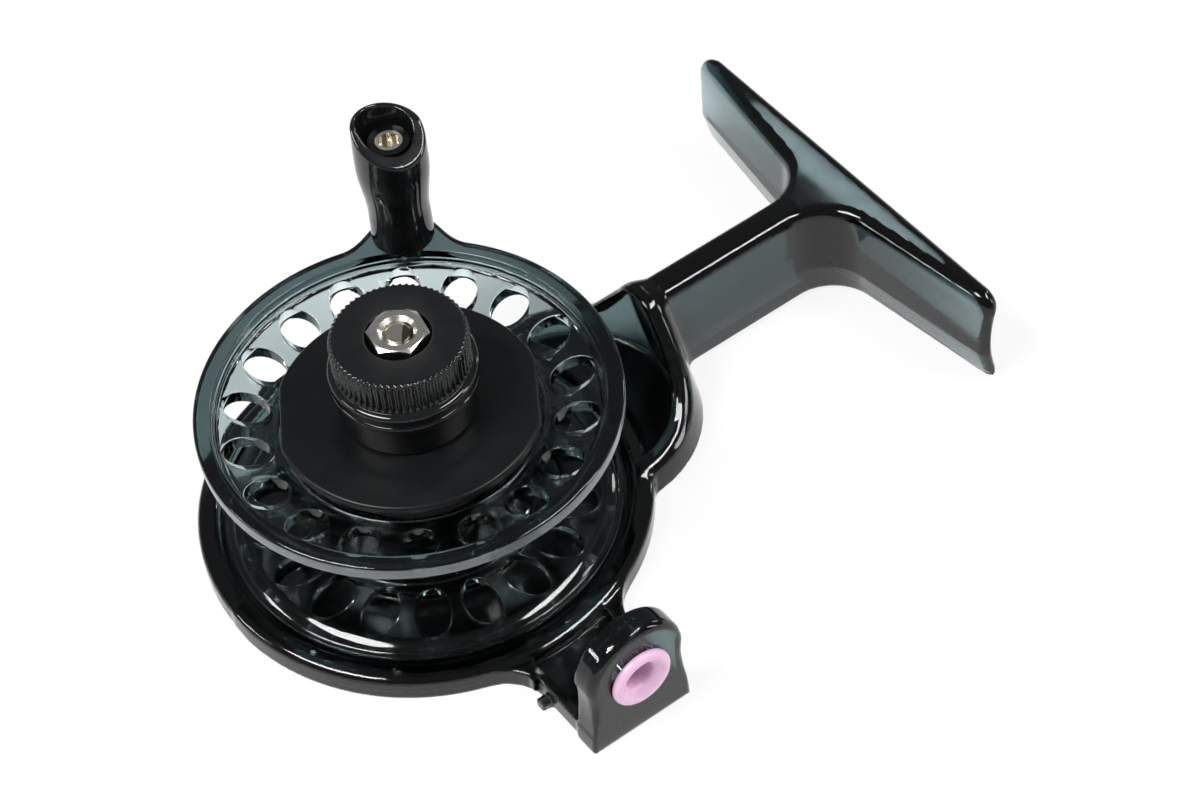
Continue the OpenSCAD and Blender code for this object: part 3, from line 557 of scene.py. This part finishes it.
def round_the_axle(name, mesh, count, first_turn, material):
    """Repeats a sector round the axle and welds the seams, with a Geometry Nodes tree."""
    tree = bpy.data.node_groups.new(name + "_ring", "GeometryNodeTree")
    face = tree.interface
    face.new_socket("Sector", in_out="INPUT", socket_type="NodeSocketGeometry")
    face.new_socket("Sectors", in_out="INPUT", socket_type="NodeSocketInt")
    face.new_socket("First turn", in_out="INPUT", socket_type="NodeSocketFloat")
    face.new_socket("Weld", in_out="INPUT", socket_type="NodeSocketFloat")
    face.new_socket("Finish", in_out="INPUT", socket_type="NodeSocketMaterial")
    face.new_socket("Ring", in_out="OUTPUT", socket_type="NodeSocketGeometry")

    def feed(socket, source):
        if hasattr(source, "is_output"):
            tree.links.new(source, socket)
        else:
            socket.default_value = source

    def add(kind, **inputs):
        made = tree.nodes.new(kind)
        for key, source in inputs.items():
            feed(made.inputs[key], source)
        return made.outputs[0]

    def maths(operation, a, b):
        made = tree.nodes.new("ShaderNodeMath")
        made.operation = operation
        feed(made.inputs[0], a)
        feed(made.inputs[1], b)
        return made.outputs[0]

    given = tree.nodes.new("NodeGroupInput").outputs
    share = maths("DIVIDE", add("GeometryNodeInputIndex"), given["Sectors"])
    turn = maths("ADD", maths("MULTIPLY", share, 2 * math.pi), given["First turn"])
    spin = add("ShaderNodeCombineXYZ", Z=turn)
    dots = add("GeometryNodePoints", Count=given["Sectors"])
    copies = add("GeometryNodeInstanceOnPoints", Points=dots, Instance=given["Sector"], Rotation=spin)
    plain = add("GeometryNodeRealizeInstances", Geometry=copies)
    welded = add("GeometryNodeMergeByDistance", Geometry=plain, Distance=given["Weld"])
    done = add("GeometryNodeSetMaterial", Geometry=welded, Material=given["Finish"])
    feed(tree.nodes.new("NodeGroupOutput").inputs[0], done)

    source = bpy.data.objects.new(name + "_sector", mesh)
    bpy.context.scene.collection.objects.link(source)
    ring = source.modifiers.new("ring", "NODES")
    ring.node_group = tree
    values = {"Sectors": count, "First turn": first_turn, "Weld": 2e-6, "Finish": material}
    for item in face.items_tree:
        if item.in_out == "INPUT" and item.name in values:
            ring[item.identifier] = values[item.name]
    source.update_tag()
    view = bpy.context.evaluated_depsgraph_get()
    view.update()
    whole = bpy.data.meshes.new_from_object(source.evaluated_get(view))
    whole.name = name
    bpy.data.objects.remove(source)
    piece = bpy.data.objects.new(name, whole)
    bpy.context.scene.collection.objects.link(piece)
    return piece


def face_outward(piece):
    """Turns all faces of a closed mesh outwards and shades it smooth."""
    work = bmesh.new()
    work.from_mesh(piece.data)
    bmesh.ops.recalc_face_normals(work, faces=work.faces)
    work.to_mesh(piece.data)
    work.free()
    piece.data.shade_smooth()


def shade_flats_even(piece):
    """Lets large faces rule the shading at their corners, so that flats between rounded edges look flat."""
    mesh = piece.data
    faces = len(mesh.polygons)
    normal, area = np.zeros(faces * 3), np.zeros(faces)
    corners, corner_point = np.zeros(faces, int), np.zeros(len(mesh.loops), int)
    mesh.polygons.foreach_get("normal", normal)
    mesh.polygons.foreach_get("area", area)
    mesh.polygons.foreach_get("loop_total", corners)
    mesh.loops.foreach_get("vertex_index", corner_point)
    pull = normal.reshape(-1, 3) * area[:, None] / MM ** 2
    total = np.zeros((len(mesh.vertices), 3))
    np.add.at(total, corner_point, np.repeat(pull, corners, 0))
    total /= np.maximum(np.linalg.norm(total, axis=1), 1e-12)[:, None]
    mesh.normals_split_custom_set_from_vertices(total.tolist())


def upper_top(r):
    return 19.1 + (r - 17.4) * 2.0 / 7.0


def upper_bottom(r):
    return upper_top(r) - UPPER_THICK


def lower_top(r):
    return LOWER_TOP + 0 * r


def lower_bottom(r):
    return LOWER_LOW + 0 * r


upper_rim = eased([
    (UPPER_OUT, upper_top(UPPER_OUT), 0), (24.65, 21.55, 0.1), (24.9, 21.6, 0.1), (24.95, 22.1, 0.1),
    (25.2, 22.15, 0.1), (25.25, RIM_TOP, 0.25), (RIM_R, RIM_TOP, 0.45), (RIM_R, RIM_LOW, 0.5),
    (25.3, RIM_LOW, 0.4), (25.1, 19.4, 0.3), (UPPER_OUT, upper_bottom(UPPER_OUT), 0)], steps=4)
drum_outside = eased([
    (UPPER_IN, upper_bottom(UPPER_IN), 0), (15.6, 17.8, 0.4), (DRUM_R, 17.4, 0.6), (DRUM_R, LOWER_TOP, 0.5),
    (LOWER_IN, LOWER_TOP, 0)], steps=4)
crown_turns = np.radians(np.linspace(20, 46, 8))
crown = [(24.0 + 4.4 * (math.sin(t) - 0.342), 4.1 - 4.4 * (0.940 - math.cos(t)), 0) for t in crown_turns]
lower_rim = eased([
    (LOWER_OUT, LOWER_TOP, 0), (23.45, LOWER_TOP, 0.2), (23.65, 4.05, 0.15), *crown, (26.2, 3.0, 0.1),
    (26.2, 2.5, 0.1), (25.0, 2.5, 0.3), (23.7, LOWER_LOW, 0.4), (LOWER_OUT, LOWER_LOW, 0)], steps=4)
hub_and_seat = eased([
    (LOWER_IN, LOWER_LOW, 0), (12.7, LOWER_LOW, 0.3), (12.7, 17.8, 0.6), (6.0, 17.8, 0.6), (6.0, 6.0, 0.3),
    (4.25, 6.0, 0.05), (4.25, 20.1, 0.05), (13.85, 20.1, 0.05), (13.85, 20.8, 0.05), (16.0, 20.8, 0.3),
    (17.1, 19.3, 0.4), (UPPER_IN, upper_top(UPPER_IN), 0)], steps=3)
webs = [
    holed_web(UPPER_IN, UPPER_OUT, 18.4, 24.4, 4.8, 0.14, upper_top, upper_bottom),
    holed_web(LOWER_IN, LOWER_OUT, 15.4, 23.0, 4.8, 0.2, lower_top, lower_bottom),
]
sector = sector_mesh("spool_sector", [upper_rim, drum_outside, lower_rim, hub_and_seat], webs, HOLES, COLUMNS)
spool = round_the_axle("spool_look", sector, HOLES, HANDLE_TURN + HOLE_TURN, smoke_plastic)


def lug_form(r, t):
    """Outline of the rim with the lug, as a distance in the plane."""
    x, y = r * np.cos(t), r * np.sin(t)
    return eased_join(np.hypot(x, y) - RIM_R, np.hypot(x - HANDLE_OUT, y) - LUG_R, LUG_FILLET)


# The handle's lug: the rim's outer wall is drawn out round the handle, with fillets on both sides
spool_points = np.zeros(len(spool.data.vertices) * 3)
spool.data.vertices.foreach_get("co", spool_points)
spool_points = spool_points.reshape(-1, 3) / MM
reach = np.hypot(spool_points[:, 0], spool_points[:, 1])
turn = np.arctan2(spool_points[:, 1], spool_points[:, 0]) - HANDLE_TURN
turn = (turn + math.pi) % (2 * math.pi) - math.pi
drawn_out = (spool_points[:, 2] > 20.5) & (reach > 26.3) & (np.abs(turn) < 0.45)
near, far = np.full(drawn_out.sum(), 27.4), np.full(drawn_out.sum(), 34.0)
for _ in range(30):
    middle = (near + far) / 2
    inside = lug_form(middle, turn[drawn_out]) < 0
    near, far = np.where(inside, middle, near), np.where(inside, far, middle)
new_reach = near + (reach[drawn_out] - RIM_R)
spool_points[drawn_out, :2] *= (new_reach / reach[drawn_out])[:, None]
spool.data.vertices.foreach_set("co", (spool_points * MM).ravel())
face_outward(spool)
shade_flats_even(spool)
dressed(spool, smoke_plastic, "spool", "spool")

# Pressure plate
# Thin disc of satin black with a flat on two sides, keyed on the axle so that it can't turn. Its edge is rounded.
DEEP_BLACK, DULL_BLACK = (0.003, 0.0033, 0.0036), (0.007, 0.0075, 0.008)
PLATE_R, PLATE_BORE, PLATE_LOW, PLATE_TOP = 17.3, 4.0, 20.85, 22.15
PLATE_FLAT_DEPTH = 0.8
PLATE_FLAT_TURN = math.radians(-32)
satin = Finish("black_satin", (0.02, 0.021, 0.022), 0.36)
cloud = satin.noise(0.25, 3)
satin.set("Base Color", satin.blend(cloud, DEEP_BLACK, DULL_BLACK))
satin.set("Roughness", cloud * 0.14 + 0.26)
satin.set("Specular IOR Level", 0.25)
satin.bump(satin.noise(4, 3), 0.08, 0.02)
black_satin = satin.material
plate_turns = np.radians(np.arange(0, 360, 2.0))
plate_profile = eased([
    (PLATE_BORE, PLATE_LOW, 0), (PLATE_R, PLATE_LOW, 0.3), (PLATE_R, PLATE_TOP, 0.45), (PLATE_BORE, PLATE_TOP, 0)],
    steps=4)
plate_rows = []
for radius, height in plate_profile:
    flat = np.abs((radius - PLATE_FLAT_DEPTH) / np.cos(plate_turns - PLATE_FLAT_TURN))
    edge = np.minimum(radius, flat) if radius > PLATE_BORE else np.full(len(plate_turns), radius)
    plate_rows.append([(r * math.cos(t), r * math.sin(t), height) for r, t in zip(edge, plate_turns)])
pressure_plate = looped("pressure_plate_look", plate_rows)
face_outward(pressure_plate)
shade_flats_even(pressure_plate)
dressed(pressure_plate, black_satin, "frame", "pressure_plate")

# Drag knob
# Black plastic cap with fine upright ribs round its top, a smooth rounded lip below them and a plain skirt.
# One rib is drawn and repeated. The nut is pressed into its top, and the spring works in its hollow.
RIBS = 64
RIB_COLUMNS = 6
RIB_R, RIB_DEPTH = 8.9, 0.35
KNOB_LOW, KNOB_TOP, KNOB_HOLLOW_R = 22.2, 35.1, 7.6
NUT_LOW = 32.7
gloss = Finish("black_plastic", (0.015, 0.016, 0.018), 0.2)
handling = gloss.noise(0.4, 4)
gloss.set("Base Color", gloss.blend(handling, DEEP_BLACK, DULL_BLACK))
gloss.set("Roughness", handling * 0.08 + 0.04)
gloss.bump(gloss.noise(3, 3), 0.05, 0.02)
black_plastic = gloss.material
rib_wave = np.array([0, 0, 0.5, 1, 1, 0.5, 0])
knob_skirt = eased([
    (KNOB_HOLLOW_R, KNOB_LOW, 0), (8.95, KNOB_LOW, 0.6), (9.1, 26.9, 0.2), (9.55, 27.1, 0.1), (9.55, 27.95, 0.4),
    (9.3, 28.1, 0.08), (9.3, 28.25, 0.08), (9.6, 28.4, 0.25), (9.6, 29.9, 0.6), (8.8, 30.2, 0.1),
    (8.85, 30.4, 0)], steps=5)
knob_top = eased([
    (8.25, KNOB_TOP, 0), (8.1, KNOB_TOP, 0), (7.8, KNOB_TOP, 0), (4.7, KNOB_TOP, 0), (4.45, KNOB_TOP, 0),
    (4.2, KNOB_TOP, 0.1), (4.15, NUT_LOW, 0.05), (3.2, NUT_LOW, 0.05), (3.2, 30.5, 0.05),
    (KNOB_HOLLOW_R, 30.5, 0.3), (KNOB_HOLLOW_R, KNOB_LOW, 0)], steps=4)
rib_turns = np.linspace(-math.pi / RIBS, math.pi / RIBS, RIB_COLUMNS + 1)
knob_rows = [[(r, t, z) for t in rib_turns] for r, z in knob_skirt]
for height, cut, back in ((30.6, 0.5, 0), (30.9, 1, 0), (34.45, 1, 0), (34.85, 0.8, 0.12), (35.05, 0.4, 0.38)):
    knob_rows.append([(RIB_R - back - RIB_DEPTH * cut * w, t, height) for t, w in zip(rib_turns, rib_wave)])
knob_rows += [[(r, t, z) for t in rib_turns] for r, z in knob_top]
rib_sector = sector_mesh("rib_sector", [], [], RIBS, RIB_COLUMNS, grids=[knob_rows])
drag_knob = round_the_axle("drag_knob_look", rib_sector, RIBS, 0.0, black_plastic)
face_outward(drag_knob)
shade_flats_even(drag_knob)
dressed(drag_knob, black_plastic, "drag_knob", "drag_knob")

# Drag nut
# Plated hexagon nut, pressed into the knob's top. Its corners are rounded off by a cone, and its thread starts in
# a countersink.
NUT_HALF, NUT_TOP, NUT_TURN = 3.5, 35.9, math.radians(20)
NUT_FACE_R, COUNTERSINK_R, CONE_SLOPE = 3.4, 2.5, 0.577
THREAD_ROOT_R, THREAD_CREST_R = 2.1, 1.98
THREAD_ROWS, THREAD_START, THREAD_STEP = 9, 35.45, 0.3
nut_turns = np.radians(np.arange(0, 360, 2.5))
hexagon = NUT_HALF / np.cos(np.radians(np.abs((np.degrees(nut_turns) % 60) - 30)))
nut_rings = [
    [(r - 0.15, NUT_LOW) for r in hexagon],
    [(r, NUT_LOW + 0.15) for r in hexagon],
    [(r, NUT_TOP - (r - NUT_FACE_R) * CONE_SLOPE) for r in hexagon],
    [(NUT_FACE_R, NUT_TOP)] * len(nut_turns),
    [(COUNTERSINK_R, NUT_TOP)] * len(nut_turns),
]
for k in range(THREAD_ROWS):
    radius = THREAD_ROOT_R if k % 2 else THREAD_CREST_R
    nut_rings.append([(radius, THREAD_START - THREAD_STEP * k)] * len(nut_turns))
nut_rings.append([(THREAD_ROOT_R, NUT_LOW)] * len(nut_turns))
drag_nut = looped("drag_nut_look", [
    [(r * math.cos(t + NUT_TURN), r * math.sin(t + NUT_TURN), z) for (r, z), t in zip(row, nut_turns)]
    for row in nut_rings])
face_outward(drag_nut)
drag_nut.data.set_sharp_from_angle(angle=math.radians(15))
dressed(drag_nut, steel, "drag_knob", "drag_nut")

# Handle knob
# Waisted knob of gloss black plastic that turns on its sleeve. Its hollow top slopes, and a flat facet is cut
# on the side towards the guide.
HANDLE_LOW, HANDLE_TOP, HANDLE_TOP_R = 23.65, 44.45, 4.65
TOP_SLOPE, TOP_SLOPE_TURN = math.radians(10), math.radians(330)
FACET_SLOPE, FACET_Y, FACET_Z = math.radians(31), -1.7, 42.1
HOLLOW_R, HOLLOW_FLOOR, SLEEVE_BORE = 3.1, 38.55, 2.55
HANDLE_GRID = 0.2


def handle_form(x, y, z):
    """Signed distance of the handle knob in millimetres, about its own axis."""
    around = np.hypot(x, y)
    up = z - HANDLE_LOW
    wave = 0.5 - 0.5 * np.cos(math.pi * np.clip((up - 5.5) / 8.5, 0, 1))
    girth = np.where(up < 5.5, 4.2 - 0.1 * np.clip(up / 5.5, 0, 1), 4.1 + 0.75 * wave)
    girth = girth - 0.2 * np.clip((up - 14) / 6.8, 0, 1) ** 2
    body = (around - girth) * 0.99
    aside = x * math.cos(TOP_SLOPE_TURN) + y * math.sin(TOP_SLOPE_TURN)
    top = (z - HANDLE_TOP + (aside + HANDLE_TOP_R) * math.tan(TOP_SLOPE)) * math.cos(TOP_SLOPE)
    body = eased_trim(body, top, 0.35)
    body = eased_trim(body, HANDLE_LOW - z, 0.5)
    facet = (z - FACET_Z) * math.cos(FACET_SLOPE) - (y - FACET_Y) * math.sin(FACET_SLOPE)
    body = eased_trim(body, facet, 0.3)
    away = 0.5 + 0.5 * y / np.maximum(around, 0.1)
    flare = 0.2 * away * np.clip(z - 38.6, 0, 6)
    hollow = np.maximum(around - HOLLOW_R - flare, HOLLOW_FLOOR - z)
    body = eased_trim(body, -hollow, 0.25)
    return np.maximum(body, SLEEVE_BORE - around)


handle_knob = moulded(
    "handle_knob_look", handle_form, (-4.9, -4.9, HANDLE_LOW), (4.9, 4.9, HANDLE_TOP), HANDLE_GRID)
handle_knob.data.transform(Matrix.Translation(Vector((HANDLE_X, HANDLE_Y, 0)) * MM))
dressed(handle_knob, black_plastic, "handle", "handle_knob")

# Studio
# Plain white floor with a soft shadow, broad soft lights, and the camera where the photograph was taken from.
FLOOR_HALF, FLOOR_Z = 3000, -0.02
floor_corners = [(i * FLOOR_HALF, j * FLOOR_HALF, FLOOR_Z) for i, j in ((-1, -1), (1, -1), (1, 1), (-1, 1))]
floor = as_piece("floor", floor_corners, [(0, 1, 2, 3)])
paper = Finish("floor_paper", (0.9, 0.9, 0.9), 0.9)
rays = paper.tree.nodes.new("ShaderNodeLightPath").outputs
through = Tone(paper, rays["Is Transmission Ray"])
seen = Tone(paper, rays["Is Camera Ray"]) * 0.85 + Tone(paper, rays["Is Glossy Ray"]) * (1 - through)
paper.cover(seen, paper.node("ShaderNodeEmission", {}, {"Color": (1, 1, 1), "Strength": 1.0}))
floor.data.materials.append(paper.material)

world = bpy.data.worlds.new("studio")
world.use_nodes = True
world.node_tree.nodes["Background"].inputs["Color"].default_value = (0.9, 0.95, 1.0, 1)
world.node_tree.nodes["Background"].inputs["Strength"].default_value = 0.21
bpy.context.scene.world = world


def soft_light(name, place, aim, size, power, colour=(1, 1, 1), shape="ELLIPSE"):
    """Area lamp of a size in metres and a power in watts, turned towards its aim."""
    lamp = bpy.data.lights.new(name, "AREA")
    lamp.shape = shape
    lamp.size, lamp.size_y = size
    lamp.energy = power
    lamp.color = colour
    light = bpy.data.objects.new(name, lamp)
    light.location = place
    light.rotation_euler = (Vector(aim) - Vector(place)).to_track_quat("-Z", "Y").to_euler()
    light.visible_camera = False
    bpy.context.scene.collection.objects.link(light)


REEL_CENTRE = (0.018, -0.016, 0.02)
soft_light("light_main", (-0.58, 0.04, 0.94), REEL_CENTRE, (0.66, 0.36), 13.0)
soft_light("light_left", (-0.7, 0.35, 0.35), REEL_CENTRE, (0.3, 0.1), 1.2)
soft_light("light_strip", (0.40, -0.38, 0.79), REEL_CENTRE, (0.55, 0.2), 5.0)
soft_light("light_right", (0.6, -0.45, 0.25), REEL_CENTRE, (0.12, 0.4), 1.0)
soft_light("light_hood", (0.6, 0.05, 0.2), REEL_CENTRE, (0.07, 0.14), 0.2)

# Two small cards give the foot's top and the nut their sheen
soft_light(
    "card_foot", (0.2018, 0.1600, 0.232), (0.2018, 0.1600, 0), (0.0068, 0.066), 0.0095,
    (0.72, 0.95, 1), "RECTANGLE")
soft_light(
    "card_nut", (0.0624, 0.119, 0.184), (0, 0, 0.036), (0.01, 0.01), 0.0002, (1, 0.95, 0.86), "RECTANGLE")
bpy.context.scene.cycles.caustics_refractive = False
bpy.context.scene.cycles.caustics_reflective = False

camera_data = bpy.data.cameras.new("camera")
camera_data.lens = 96
camera_data.sensor_width = 36
camera_data.clip_start = 0.01
camera = bpy.data.objects.new("camera", camera_data)
bpy.context.scene.collection.objects.link(camera)
camera_right = Vector((0.7975, -0.6002, -0.0621))
camera_up = Vector((0.4899, 0.5840, 0.6472))
camera_turn = Matrix((camera_right, camera_up, camera_right.cross(camera_up))).transposed().to_4x4()
camera_turn.translation = Vector((-0.1235, -0.2362, 0.3292))
camera.matrix_world = camera_turn
bpy.context.scene.camera = camera
bpy.context.scene.view_settings.view_transform = "Standard"
